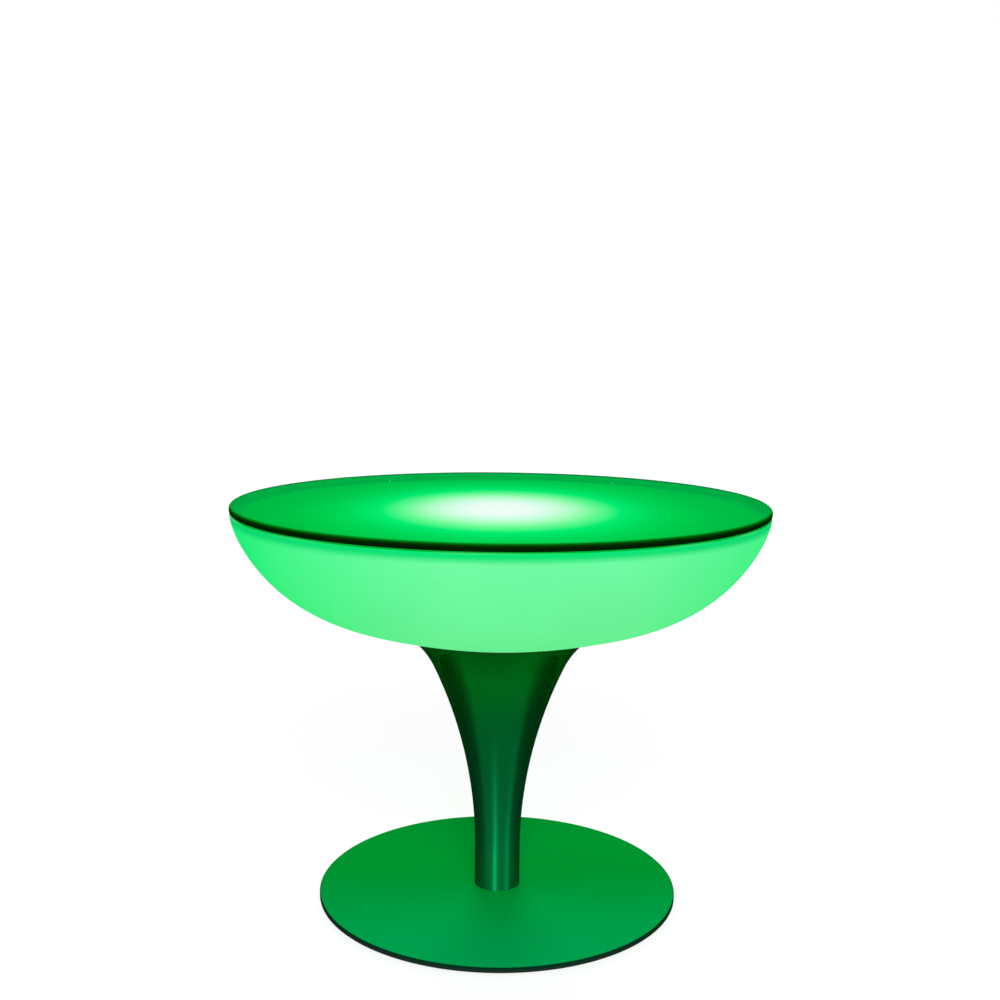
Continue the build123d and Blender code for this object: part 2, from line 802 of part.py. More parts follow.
# Control panel, flush with the bowl's underside, with two posts behind it for the small board
with BuildPart() as control_panel:
    with BuildSketch(panel_face.offset(panel_back)):
        RectangleRounded(panel_length, panel_width, panel_corner)
    extrude(amount=panel_thickness)
    chamfer(
        control_panel.faces().sort_by(Axis(panel_face.origin, panel_face.z_dir))[-1].edges(),
        panel_edge_chamfer,
    )
    with BuildSketch(panel_face.offset(panel_back)):
        with GridLocations(post_place, 2 * post_place, 1, 2):
            Circle(post_radius)
    extrude(amount=-post_height)
    with BuildSketch(panel_face.offset(board_face)):
        with GridLocations(post_place, 2 * post_place, 1, 2):
            Circle(post_screw_radius + thread_clearance)
    extrude(amount=post_screw_length, mode=Mode.SUBTRACT)
    with BuildSketch(panel_face.offset(panel_back)):
        with Locations((button_place, 0)):
            Circle(button_radius + button_clearance)
        with Locations((socket_place, 0)):
            Circle(socket_radius + fit_clearance)
    extrude(amount=panel_thickness, mode=Mode.SUBTRACT)
    with Locations(panel_face.offset(panel_front)):
        with GridLocations(2 * panel_screw_place, panel_screw_place, 2, 1):
            CounterSinkHole(
                panel_screw_radius + fit_clearance,
                panel_screw_head_radius + fit_clearance,
                depth=panel_thickness + overrun,
                counter_sink_angle=90,
            )
control_panel.part.label = "control_panel"
export_step(control_panel.part, "parts/control_panel.step")

# Seal behind the panel
with BuildPart() as panel_seal:
    with BuildSketch(panel_face.offset(pocket_floor)):
        RectangleRounded(panel_length, panel_width, panel_corner)
        RectangleRounded(window_length, window_width, window_corner, mode=Mode.SUBTRACT)
        with GridLocations(2 * panel_screw_place, panel_screw_place, 2, 1):
            Circle(panel_screw_radius + fit_clearance, mode=Mode.SUBTRACT)
    extrude(amount=panel_seal_thickness)
panel_seal.part.label = "panel_seal"
export_step(panel_seal.part, "parts/panel_seal.step")

# Screws at the panel's ends
inward_panel_face = Plane(
    origin=panel_face.offset(panel_front).origin,
    x_dir=panel_face.x_dir,
    z_dir=-panel_face.z_dir,
)
with BuildPart() as panel_screws:
    with Locations(inward_panel_face):
        with GridLocations(2 * panel_screw_place, panel_screw_place, 2, 1):
            add(
                countersunk_screw(
                    panel_screw_radius, panel_screw_head_radius, panel_screw_length
                )
            )
panel_screws.part.label = "panel_screws"
export_step(panel_screws.part, "parts/panel_screws.step")

# Push button with a shallow dish for the finger and a flange that keeps it in the panel
with BuildPart() as power_button:
    with BuildSketch(panel_face.offset(button_back)):
        with Locations((button_place, 0)):
            Circle(button_flange_radius)
    extrude(amount=button_flange_thickness)
    with BuildSketch(panel_face.offset(button_back)):
        with Locations((button_place, 0)):
            Circle(button_radius)
    extrude(amount=button_front - button_back)
    fillet(
        power_button.faces().sort_by(Axis(panel_face.origin, panel_face.z_dir))[-1].edges(),
        button_edge_round,
    )
    with Locations(panel_face.offset(button_front - button_dish_depth + button_dish_radius)):
        with Locations((button_place, 0)):
            Sphere(button_dish_radius, mode=Mode.SUBTRACT)
power_button.part.label = "power_button"
export_step(power_button.part, "parts/power_button.step")

# Plunger that the button pushes into the switch
with BuildPart() as switch_plunger:
    with BuildSketch(panel_face.offset(switch_front - plunger_insert)):
        with Locations((button_place, 0)):
            Circle(plunger_radius)
    extrude(amount=button_back - switch_front + plunger_insert)
switch_plunger.part.label = "switch_plunger"
export_step(switch_plunger.part, "parts/switch_plunger.step")

# Switch body with room for the plunger's travel
with BuildPart() as button_switch:
    with BuildSketch(panel_face.offset(board_face)):
        with Locations((button_place, 0)):
            RectangleRounded(switch_size, switch_size, switch_corner)
    extrude(amount=switch_height)
    with BuildSketch(panel_face.offset(switch_front)):
        with Locations((button_place, 0)):
            Circle(plunger_radius + running_clearance)
    extrude(amount=-plunger_insert - button_travel - fit_clearance, mode=Mode.SUBTRACT)
button_switch.part.label = "button_switch"
export_step(button_switch.part, "parts/button_switch.step")

# Small board that carries switch and socket
with BuildPart() as panel_board:
    with BuildSketch(panel_face.offset(board_back)):
        RectangleRounded(panel_board_length, panel_board_width, panel_board_corner)
        with GridLocations(post_place, 2 * post_place, 1, 2):
            Circle(post_screw_radius + fit_clearance, mode=Mode.SUBTRACT)
    extrude(amount=board_thickness)
panel_board.part.label = "panel_board"
export_step(panel_board.part, "parts/panel_board.step")

# Screws that hold the small board on the panel's posts
with BuildPart() as panel_board_screws:
    with Locations(panel_face.offset(board_back)):
        with GridLocations(post_place, 2 * post_place, 1, 2):
            add(
                cap_screw(
                    post_screw_radius,
                    post_screw_head_radius,
                    post_screw_head_height,
                    post_screw_length,
                )
            )
panel_board_screws.part.label = "panel_board_screws"
export_step(panel_board_screws.part, "parts/panel_board_screws.step")

# Charging socket: flange, barrel, bore and centre pin
with BuildPart() as charge_socket:
    with BuildSketch(panel_face.offset(board_face)):
        with Locations((socket_place, 0)):
            Circle(socket_radius)
    extrude(amount=socket_front - board_face)
    with BuildSketch(panel_face.offset(panel_front)):
        with Locations((socket_place, 0)):
            Circle(socket_flange_radius)
    extrude(amount=socket_flange_thickness)
    with BuildSketch(panel_face.offset(socket_bore_floor)):
        with Locations((socket_place, 0)):
            Circle(socket_bore_radius)
    extrude(amount=socket_bore_depth, mode=Mode.SUBTRACT)
    with BuildSketch(panel_face.offset(socket_bore_floor)):
        with Locations((socket_place, 0)):
            Circle(socket_pin_radius)
    extrude(amount=socket_bore_depth - socket_pin_set_back)
charge_socket.part.label = "charge_socket"
export_step(charge_socket.part, "parts/charge_socket.step")

# Nut that clamps the socket in the panel
with BuildPart() as socket_nut:
    with BuildSketch(panel_face.offset(panel_back)):
        with Locations((socket_place, 0)):
            RegularPolygon(nut_flat_radius, 6, major_radius=False)
            Circle(socket_radius + thread_clearance, mode=Mode.SUBTRACT)
    extrude(amount=-nut_thickness)
socket_nut.part.label = "socket_nut"
export_step(socket_nut.part, "parts/socket_nut.step")

# Rubber plug: cap with a finger tab, and a hollow stem that goes over the socket's pin
stem_bottom = socket_front - stopper_stem_length
with BuildPart() as socket_plug:
    with BuildSketch(panel_face.offset(socket_front)):
        with Locations((socket_place, 0)):
            Circle(stopper_cap_radius)
    extrude(amount=stopper_cap_thickness)
    chamfer(
        socket_plug.faces().sort_by(Axis(panel_face.origin, panel_face.z_dir))[-1].edges(),
        stopper_cap_chamfer,
    )
    with BuildSketch(panel_face.offset(socket_front + stopper_cap_thickness)):
        with Locations((socket_place, 0)):
            RectangleRounded(stopper_tab_length, stopper_tab_width, stopper_tab_round)
    extrude(amount=stopper_tab_height)
    with BuildSketch(panel_face.offset(stem_bottom)):
        with Locations((socket_place, 0)):
            Circle(socket_bore_radius - stopper_clearance)
    extrude(amount=stopper_stem_length)
    with BuildSketch(panel_face.offset(stem_bottom)):
        with Locations((socket_place, 0)):
            Circle(socket_pin_radius + stopper_bore_clearance)
    extrude(
        amount=stopper_stem_length - socket_pin_set_back + stopper_bore_clearance,
        mode=Mode.SUBTRACT,
    )
socket_plug.part.label = "socket_plug"
export_step(socket_plug.part, "parts/socket_plug.step")

# Gland of the lead, in the tub's pocket
gland_tip = pocket_back + gland_length
with BuildPart() as lead_gland:
    with BuildSketch(Plane.XZ.offset(-pocket_back)):
        with Locations((0, gland_level)):
            Circle(gland_radius)
    extrude(amount=-gland_length)
    chamfer(lead_gland.edges().group_by(Axis.Y)[-1], gland_taper)
lead_gland.part.label = "lead_gland"
export_step(lead_gland.part, "parts/lead_gland.step")

# Connector on the back of the small board
with BuildPart() as lead_connector:
    with BuildSketch(panel_face.offset(board_back)):
        Rectangle(connector_length, connector_width)
    extrude(amount=-connector_height)
lead_connector.part.label = "lead_connector"
export_step(lead_connector.part, "parts/lead_connector.step")

# Lead between them, held at both ends, in one easy arch over the bowl's floor
lead_start = Vector(0, gland_tip, gland_level)
lead_end = panel_face.offset(connector_back).origin
lead_out = lead_start + Vector(0, lead_straight, 0)
lead_in = lead_end - panel_face.z_dir * lead_straight
lead_crest = (lead_out + lead_in) * 0.5 + Vector(0, 0, lead_rise)
with BuildPart() as panel_lead:
    with BuildLine():
        FilletPolyline(
            lead_start, lead_out, lead_crest, lead_in, lead_end, radius=lead_bend
        )
    with BuildSketch(Plane(origin=lead_start, z_dir=(0, 1, 0))):
        Circle(lead_radius)
    sweep()
panel_lead.part.label = "panel_lead"
export_step(panel_lead.part, "parts/panel_lead.step")

# Clear strips between bowl and glass: a flat ring, cut into equal lengths
with BuildPart() as glass_pads:
    with BuildSketch(Plane.XY.offset(rim_height)):
        Circle(glass_pad_outer_radius)
        Circle(glass_pad_outer_radius - glass_pad_width, mode=Mode.SUBTRACT)
        with PolarLocations(glass_pad_ring_radius, glass_pad_count):
            Rectangle(glass_pad_width + overrun, glass_pad_gap, mode=Mode.SUBTRACT)
    extrude(amount=glass_pad_thickness)
glass_pads.part.label = "glass_pads"
export_step(glass_pads.part, "parts/glass_pads.step")

# Glass top with a rounded, polished edge
with BuildPart() as tabletop_glass:
    with BuildSketch(Plane.XY.offset(glass_bottom)):
        Circle(top_radius)
    extrude(amount=glass_thickness)
    fillet(tabletop_glass.edges().filter_by(GeomType.CIRCLE), glass_edge_round)
tabletop_glass.part.label = "tabletop_glass"
export_step(tabletop_glass.part, "parts/tabletop_glass.step")

print("height of the bowl's seat", round(seat_height, 2), "radius of the plate", round(plate_radius, 2))
print("wall angles", [round(angle, 1) for angle in bowl_angles + column_angles])
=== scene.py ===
import json
from math import cos, pi, radians, sin

import bpy
from mathutils import Matrix, Vector


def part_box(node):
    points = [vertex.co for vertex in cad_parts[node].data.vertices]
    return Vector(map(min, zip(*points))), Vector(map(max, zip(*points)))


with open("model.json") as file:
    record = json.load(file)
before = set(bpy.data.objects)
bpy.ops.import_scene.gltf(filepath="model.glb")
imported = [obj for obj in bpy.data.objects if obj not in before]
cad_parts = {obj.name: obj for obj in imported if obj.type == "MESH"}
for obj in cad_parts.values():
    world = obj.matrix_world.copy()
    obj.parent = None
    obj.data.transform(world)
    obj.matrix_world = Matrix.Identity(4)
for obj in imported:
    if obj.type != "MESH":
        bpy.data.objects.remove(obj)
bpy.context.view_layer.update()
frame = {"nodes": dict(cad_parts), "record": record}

# A low round lounge table, lit green from inside: glass top, milky bowl, trumpet-shaped
# metal column and round metal base. Metres, -Y the front. Every CAD node keeps its shape and
# gets a procedural finish. The rest is camera, floor, screens and lamps.
nodes = frame["nodes"]
slot_of = {part["node"]: part["material_slot"] for part in frame["record"]["subparts"]}

# Heights and radii of the main pieces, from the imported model
glass_low, glass_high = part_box("tabletop_glass")
bowl_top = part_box("light_bowl")[1].z
column_low, column_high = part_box("trumpet_column")
base_low, base_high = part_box("base_plate")
top_radius = glass_high.x
base_radius = base_high.x

# Camera, solved from the outlines of glass, bowl, column and base
camera_place = (0.0, -1.3954, 0.6310)
camera_pitch = radians(7.369)
camera_yaw = radians(-0.038)
camera_roll = radians(0.5745)
camera_lens_mm = 45.745
camera_sensor_mm = 36.0

# Colours, written as 0 to 255 values as they look on a screen. A ramp's stops are shares of its
# way: from the hot spot's centre outward, from the column's foot up, and from the under face of
# the glass up
deck_glow = (
    (0.00, (255, 255, 255)),
    (0.12, (248, 255, 254)),
    (0.21, (216, 255, 232)),
    (0.28, (178, 254, 196)),
    (0.36, (110, 250, 151)),
    (0.41, (70, 243, 131)),
    (0.45, (6, 235, 113)),
    (0.50, (0, 226, 99)),
    (0.58, (0, 211, 81)),
    (0.67, (0, 200, 68)),
    (0.80, (0, 186, 58)),
    (1.00, (0, 174, 50)),
)
# Painted light: the bowl's green glow on the steel column, as its colour from foot to top
column_painted_glow = (
    (0.00, (6, 124, 70)),
    (0.30, (4, 108, 60)),
    (0.55, (3, 102, 51)),
    (0.70, (2, 105, 44)),
    (0.85, (0, 119, 34)),
    (1.00, (0, 122, 29)),
)
# Painted glow and shade of the glass edge: dark green, lighter towards its top, as the deck's light
# picked up in the glass
glass_rim_painted_glow = (
    (0.00, (0, 31, 0)),
    (0.25, (0, 26, 0)),
    (0.52, (0, 31, 0)),
    (0.68, (0, 49, 0)),
    (0.84, (0, 89, 5)),
    (1.00, (0, 160, 40)),
)
# The bowl's glow; its paler front and back against greener sides are painted light
wall_glow = (98, 229, 130)
wall_glow_painted_sides = (25, 230, 99)
wall_body = (60, 120, 110)
wall_body_painted_sides = (34, 120, 110)
# Painted shade: the bowl's glow darker just under the glass
rim_painted_shade = (14, 220, 114)
# Painted highlight: the pale line along the top of the bowl's rim, under the glass's edge
seam_painted_highlight = (80, 212, 130)
# Painted glow of the clear silicone pads, as the deck's light passed through them
silicone_painted_glow = (0, 172, 62)
# Painted glow of the glass edge seen from inside
inside_edge_painted_glow = (0, 166, 52)
# Painted light: the bowl's green glow on the steel base plate, lighter at the front
base_painted_glow_front = (0, 165, 90)
base_painted_glow_back = (0, 149, 51)
# Painted shade on the base plate's edge: dark green at the top, dark grey at the foot
base_edge_shade_top = (2, 50, 30)
base_edge_shade_foot = (38, 50, 46)
lens_white = (190, 255, 215)
lens_glow = (150, 255, 190)

# The share of a colour that glows, and the share painted into the surface's own colour as a copy
# of that glow or shade. On the silicone and the glass edges the glow itself is painted light
deck_glow_share, deck_painted_own_share = 0.84, 0.3
rim_shaded_glow_share, rim_painted_own_share = 0.78, 0.3
seam_highlight_share = 0.8
silicone_painted_glow_share, silicone_painted_own_share = 0.75, 0.3
glass_rim_painted_glow_share, glass_rim_painted_own_share = 0.95, 0.1
inside_edge_painted_glow_share, inside_edge_painted_own_share = 0.9, 0.15

# The hot spot in the deck: its centre, how far its bright part reaches along X and Y, and
# how many such reaches the glow takes to fade
spot_centre = (0.0, -0.002, 0.0)
spot_reach = (0.100, 0.130)
spot_span = 2.9
# Painted light on the wall: its glow is palest round this centre, and fades over these
# distances from it, which count a quarter along Y, so the front and back stay paler than the sides
wall_spot_centre = (0.033, 0.0, 0.0)
wall_spot_reach = (1.0, 4.0)
wall_fade = (0.105, 0.295)

# Zones of the bowl, as depths under its top face: where each starts, and where it is full
rim_shade_zone = (0.0127, 0.0033)
deck_zone = (0.0006, 0.0002)
seam_highlight_zone = (0.0012, 0.0008)
# Zones in from the rim of glass or base plate, given the same way
seam_highlight_inset = (0.0024, 0.0020)
round_edge_inset = (0.0032, 0.0028)
under_edge_inset = (0.0046, 0.0042)
base_edge_inset = (0.0012, 0.0006)
# Values of the noise at which the painted highlight under the glass's edge starts, and at which it
# is full
seam_highlight_patches = (0.46, 0.6)
# Heights over the lowest point of the glass between which its under face ends
under_face_end = (0.0005, 0.001)
# Depths under the top of the glass at which the painted shade line of its far edge starts, and is
# full, and the share of the painted glow that is left in it
painted_shade_line_zone = (0.0021, 0.0012)
painted_shade_line_share = 0.12
# The painted shade on the base plate's edge changes colour all the way up, but for this much at
# each face
base_edge_margin = 0.001
# The base plate's painted glow is at its rear colour from this share of its radius behind the axis
# on
base_back_share = 0.15

# What nearly all of a noise texture's values lie between
noise_low, noise_high = 0.3, 0.7


def linear(colour, share=1.0):
    """A 0 to 255 display colour as the linear colour that a shader takes, times a share."""
    shown = (value / 255 for value in colour)
    channels = (c / 12.92 if c <= 0.04045 else ((c + 0.055) / 1.055) ** 2.4 for c in shown)
    return (*(share * channel for channel in channels), 1.0)


class Shading:
    """A material's node tree, with a short way to add and link nodes."""

    def __init__(self, name):
        self.material = bpy.data.materials.new(name)
        self.material.use_nodes = True
        self.tree = self.material.node_tree
        self.tree.nodes.clear()
        self.place = self.add("ShaderNodeTexCoord").outputs["Object"]

    def add(self, kind, inputs=None, **settings):
        """A node of that kind, its sockets set to values or linked to other sockets."""
        node = self.tree.nodes.new(kind)
        for key, value in settings.items():
            setattr(node, key, value)
        for key, value in (inputs or {}).items():
            if isinstance(value, bpy.types.NodeSocket):
                self.tree.links.new(value, node.inputs[key])
            else:
                node.inputs[key].default_value = value
        return node

    def noise(self, scale, detail=3.0, stretch=(1, 1, 1)):
        """Noise of that many cells per metre, stretched along the axes."""
        mapped = self.add("ShaderNodeMapping", {"Vector": self.place, "Scale": stretch})
        noise = self.add(
            "ShaderNodeTexNoise",
            {"Vector": mapped.outputs["Vector"], "Scale": scale, "Detail": detail},
        )
        return noise.outputs["Fac"]

    def lines(self, value, scale, detail):
        """Noise along one value alone, of that many cells per metre: turning marks or rings."""
        noise = self.add(
            "ShaderNodeTexNoise",
            {"W": self.spread(value, 0.0, 1.0, 0.0, scale), "Scale": 1.0, "Detail": detail},
            noise_dimensions="1D",
        )
        return noise.outputs["Fac"]

    def spread(self, value, start, end, low, high, kind="LINEAR"):
        """The value's stretch from start to end, turned into low to high."""
        limits = {"Value": value, "From Min": start, "From Max": end}
        limits.update({"To Min": low, "To Max": high})
        return self.add("ShaderNodeMapRange", limits, interpolation_type=kind).outputs["Result"]

    def rise(self, value, start, end, kind="LINEAR"):
        """0 up to start, 1 from end on."""
        return self.spread(value, start, end, 0.0, 1.0, kind)

    def within(self, value, limit, zone, kind="LINEAR"):
        """0 further under the limit than the zone's start, 1 nearer to it than the zone's end."""
        start, end = (limit - distance for distance in zone)
        return self.rise(value, start, end, kind)

    def vary(self, noise, low, high):
        """Noise turned into low to high."""
        return self.spread(noise, noise_low, noise_high, low, high)

    def along(self, axis):
        """The place along X, Y or Z."""
        return self.add("ShaderNodeSeparateXYZ", {"Vector": self.place}).outputs[axis]

    def radius(self, centre=(0, 0, 0), reach=(1, 1)):
        """Distance from an upright axis, in units of the reach along X and Y."""
        moved = self.add("ShaderNodeVectorMath", {0: self.place, 1: centre}, operation="SUBTRACT")
        flat = self.add(
            "ShaderNodeVectorMath",
            {0: moved.outputs["Vector"], 1: (1 / reach[0], 1 / reach[1], 0)},
            operation="MULTIPLY",
        )
        length = self.add(
            "ShaderNodeVectorMath", {0: flat.outputs["Vector"]}, operation="LENGTH"
        )
        return length.outputs["Value"]

    def mix(self, factor, first, second):
        """Two colours mixed by a factor."""
        # In a Mix node of colours, input sockets 6 and 7 take the colours, and output 2 gives one
        mix = self.add("ShaderNodeMix", {0: factor, 6: first, 7: second}, data_type="RGBA")
        return mix.outputs[2]

    def times(self, first, second):
        """The product of two numbers."""
        product = self.add("ShaderNodeMath", {0: first, 1: second}, operation="MULTIPLY")
        return product.outputs["Value"]

    def scaled(self, colour, factor):
        """A colour made brighter or darker by a factor, without its alpha."""
        if isinstance(colour, tuple):
            colour = colour[:3]
        scaled = self.add("ShaderNodeVectorMath", {0: colour, "Scale": factor}, operation="SCALE")
        return scaled.outputs["Vector"]

    def ramp(self, value, stops):
        """A colour ramp with stops of (share, 0 to 255 colour)."""
        ramp = self.add("ShaderNodeValToRGB", {"Fac": value})
        elements = ramp.color_ramp.elements
        elements.remove(elements[1])
        for number, (share, colour) in enumerate(stops):
            element = elements.new(share) if number else elements[0]
            element.position = share
            element.color = linear(colour)
        return ramp.outputs["Color"]

    def bump(self, value, depth):
        """Surface relief of that depth in metres."""
        bump = self.add("ShaderNodeBump", {"Height": value, "Strength": 1.0, "Distance": depth})
        return bump.outputs["Normal"]

    def principled(self, inputs):
        """The general shader, with those inputs."""
        return self.add("ShaderNodeBsdfPrincipled", inputs).outputs["BSDF"]

    def diffuse(self, grey):
        """A matt grey shader."""
        return self.add("ShaderNodeBsdfDiffuse", {"Color": (grey, grey, grey, 1.0)}).outputs["BSDF"]

    def either(self, factor, first, second):
        """The first shader where the factor is 0, the second where it is 1."""
        mixed = self.add("ShaderNodeMixShader", {0: factor, 1: first, 2: second})
        return mixed.outputs["Shader"]

    def surface(self, shader):
        """The finished material, with that shader."""
        self.add("ShaderNodeOutputMaterial", {"Surface": shader})
        return self.material


def plain_finish(name, colour, roughness, metallic=0.0, grain=900.0, depth=0.00002):
    """Moulded plastic, rubber or plain metal: slight changes of colour and gloss, fine relief."""
    s = Shading(name)
    fine = s.noise(grain)
    broad = s.noise(grain / 30)
    shader = s.principled(
        {
            "Base Color": s.scaled(linear(colour), s.vary(broad, 0.92, 1.08)),
            "Roughness": s.vary(fine, roughness * 0.85, roughness * 1.15),
            "Metallic": metallic,
            "Normal": s.bump(fine, depth),
        }
    )
    return s.surface(shader)


def lit_polyethylene():
    """Milky plastic lit from inside: painted light keeps front and back paler than the sides,
    painted shade darkens it under the rim, and the hot spot in mid deck is also painted into its
    own colour.
    """
    s = Shading("lit_polyethylene")
    height = s.along("Z")
    # Painted light: paler front and back, greener sides
    sides = s.rise(s.radius(wall_spot_centre, wall_spot_reach), *wall_fade)
    wall = s.mix(sides, linear(wall_glow), linear(wall_glow_painted_sides))
    wall_own = s.mix(sides, linear(wall_body), linear(wall_body_painted_sides))
    # Painted shade: glow and own colour darker just under the glass
    rim = s.within(height, bowl_top, rim_shade_zone, kind="SMOOTHSTEP")
    glow = s.mix(rim, wall, linear(rim_painted_shade, rim_shaded_glow_share))
    body = s.mix(rim, wall_own, linear(rim_painted_shade, rim_painted_own_share))
    deck = s.ramp(s.rise(s.radius(spot_centre, spot_reach), 0.0, spot_span), deck_glow)
    on_deck = s.within(height, bowl_top, deck_zone)
    # The deck's hot spot glows from the lamp inside; its copy in the own colour is painted light
    glow = s.mix(on_deck, glow, s.scaled(deck, deck_glow_share))
    body = s.mix(on_deck, body, s.scaled(deck, deck_painted_own_share))
    # Painted highlight: a pale line under the edge of the glass, in patches
    above = s.within(height, bowl_top, seam_highlight_zone)
    outside = s.within(s.radius(), top_radius, seam_highlight_inset)
    patches = s.rise(s.noise(7.0, detail=1.0), *seam_highlight_patches)
    seam_highlight = s.times(s.times(above, outside), patches)
    glow = s.mix(seam_highlight, glow, linear(seam_painted_highlight, seam_highlight_share))
    uneven = s.vary(s.noise(9.0, detail=2.0), 0.975, 1.025)
    skin = s.noise(420.0, detail=4.0)
    shader = s.principled(
        {
            "Base Color": body,
            "Roughness": s.vary(skin, 0.42, 0.56),
            "Specular IOR Level": 0.0,
            "Emission Color": s.scaled(glow, uneven),
            "Emission Strength": 1.0,
            "Normal": s.bump(skin, 0.00006),
        }
    )
    return s.surface(shader)


def clear_silicone():
    """Clear silicone with a painted glow, standing for the deck's light passed on through it."""
    s = Shading("clear_silicone")
    tone = s.vary(s.noise(60.0, detail=2.0), 0.9, 1.1)
    shader = s.principled(
        {
            "Base Color": linear(silicone_painted_glow, silicone_painted_own_share),
            "Roughness": s.vary(s.noise(500.0), 0.4, 0.5),
            "Specular IOR Level": 0.0,
            "Emission Color": s.scaled(linear(silicone_painted_glow), tone),
            "Emission Strength": silicone_painted_glow_share,
        }
    )
    return s.surface(shader)


def top_glass():
    """Clear glass with a faint green sheen; its round edge has painted glow, dark green outside and
    lighter inside.
    """
    s = Shading("top_glass")
    radius, height = s.radius(), s.along("Z")
    behind = s.add("ShaderNodeNewGeometry").outputs["Backfacing"]
    # The flat faces: clear, with a sheen where light enters
    clear = s.add("ShaderNodeBsdfTransparent", {"Color": (0.985, 1.0, 0.99, 1.0)})
    ripple = s.bump(s.noise(12.0, detail=1.0), 0.00002)
    sheen = s.add(
        "ShaderNodeBsdfGlossy",
        {"Color": (0.0, 0.5, 0.15, 1.0), "Roughness": 0.0, "Normal": ripple},
    )
    grazing = s.add("ShaderNodeFresnel", {"IOR": 1.045}).outputs["Fac"]
    entering = s.spread(behind, 0.0, 1.0, 1.0, 0.0)
    face = s.either(s.times(grazing, entering), clear.outputs["BSDF"], sheen.outputs["BSDF"])
    # The edge seen from outside: painted glow and shade, dark green with a lighter top
    tone = s.vary(s.noise(30.0, detail=2.0), 0.9, 1.1)
    painted_rim_glow = s.ramp(s.rise(height, glass_low.z, glass_high.z), glass_rim_painted_glow)
    rim = s.principled(
        {
            "Base Color": s.scaled(painted_rim_glow, glass_rim_painted_own_share),
            "Specular IOR Level": 0.0,
            "Roughness": 0.12,
            "Coat Weight": 0.02,
            "Coat Roughness": 0.03,
            "Emission Color": s.scaled(painted_rim_glow, tone),
            "Emission Strength": glass_rim_painted_glow_share,
        }
    )
    # The far edge seen through the glass: painted glow, with a painted shade line at the top
    line_heights = (glass_high.z - depth for depth in painted_shade_line_zone)
    painted_shade_line = s.spread(height, *line_heights, 1.0, painted_shade_line_share)
    inside = s.principled(
        {
            "Base Color": linear(inside_edge_painted_glow, inside_edge_painted_own_share),
            "Specular IOR Level": 0.0,
            "Emission Color": s.scaled(linear(inside_edge_painted_glow), s.times(tone, painted_shade_line)),
            "Emission Strength": inside_edge_painted_glow_share,
        }
    )
    # The edge takes a little more of the under face than of the top
    round_edge = s.within(radius, top_radius, round_edge_inset)
    near_edge = s.within(radius, top_radius, under_edge_inset)
    under_heights = (glass_low.z + height_over for height_over in under_face_end)
    under = s.spread(height, *under_heights, 1.0, 0.0)
    edge = s.add(
        "ShaderNodeMath", {0: round_edge, 1: s.times(near_edge, under)}, operation="MAXIMUM"
    )
    return s.surface(s.either(edge.outputs["Value"], face, s.either(behind, rim, inside)))


def base_metal():
    """Satin steel plate with the bowl's green glow painted into its colour, lighter at the front,
    and painted shade on its edge.
    """
    s = Shading("base_metal")
    radius = s.radius()
    rings = s.lines(radius, 900.0, detail=2.0)
    # Painted light: the glow's green, lighter at the front than at the back
    base_painted_glow = s.mix(
        s.rise(s.along("Y"), -base_radius, base_back_share * base_radius),
        linear(base_painted_glow_front),
        linear(base_painted_glow_back),
    )
    plate = s.scaled(base_painted_glow, s.vary(s.noise(7.0), 0.96, 1.04))
    # Painted shade on the edge: dark green at the top, grey at the foot
    upward = s.rise(s.along("Z"), base_low.z + base_edge_margin, base_high.z - base_edge_margin)
    painted_edge_shade = s.mix(upward, linear(base_edge_shade_foot), linear(base_edge_shade_top))
    edge = s.within(radius, base_radius, base_edge_inset)
    shader = s.principled(
        {
            "Base Color": s.mix(edge, plate, painted_edge_shade),
            "Metallic": 0.1,
            "Specular IOR Level": 0.0,
            "Specular Tint": (0.4, 0.69, 0.54, 1.0),
            "Roughness": s.vary(rings, 0.4, 0.52),
            "Normal": s.bump(rings, 0.000004),
        }
    )
    return s.surface(shader)


def column_metal():
    """Spun steel: fine turning marks round the axis, with the bowl's dark green glow painted into
    its colour.
    """
    s = Shading("column_metal")
    height = s.along("Z")
    turned = s.lines(height, 1400.0, detail=3.0)
    tone = s.vary(s.noise(25.0, stretch=(1, 1, 0.3)), 0.92, 1.08)
    # Painted light: the glow's green, changing up the column
    colour = s.ramp(s.rise(height, column_low.z, column_high.z), column_painted_glow)
    grain = s.add("ShaderNodeTangent", direction_type="RADIAL", axis="Z").outputs["Tangent"]
    shader = s.principled(
        {
            "Base Color": s.scaled(colour, tone),
            "Metallic": 0.7,
            "Specular IOR Level": 0.0,
            "Specular Tint": (0.0, 0.03, 0.005, 1.0),
            "Anisotropic": 0.95,
            "Anisotropic Rotation": 0.25,
            "Tangent": grain,
            "Roughness": s.vary(turned, 0.35, 0.43),
            "Normal": s.bump(turned, 0.00001),
        }
    )
    return s.surface(shader)


def lamp_lens():
    """Lamp body with a lit lens."""
    s = Shading("lamp_lens")
    tone = s.vary(s.noise(400.0, detail=1.0), 0.9, 1.1)
    shader = s.principled(
        {
            "Base Color": s.scaled(linear(lens_white), tone),
            "Roughness": 0.3,
            "Emission Color": linear(lens_glow),
            "Emission Strength": 1.0,
        }
    )
    return s.surface(shader)


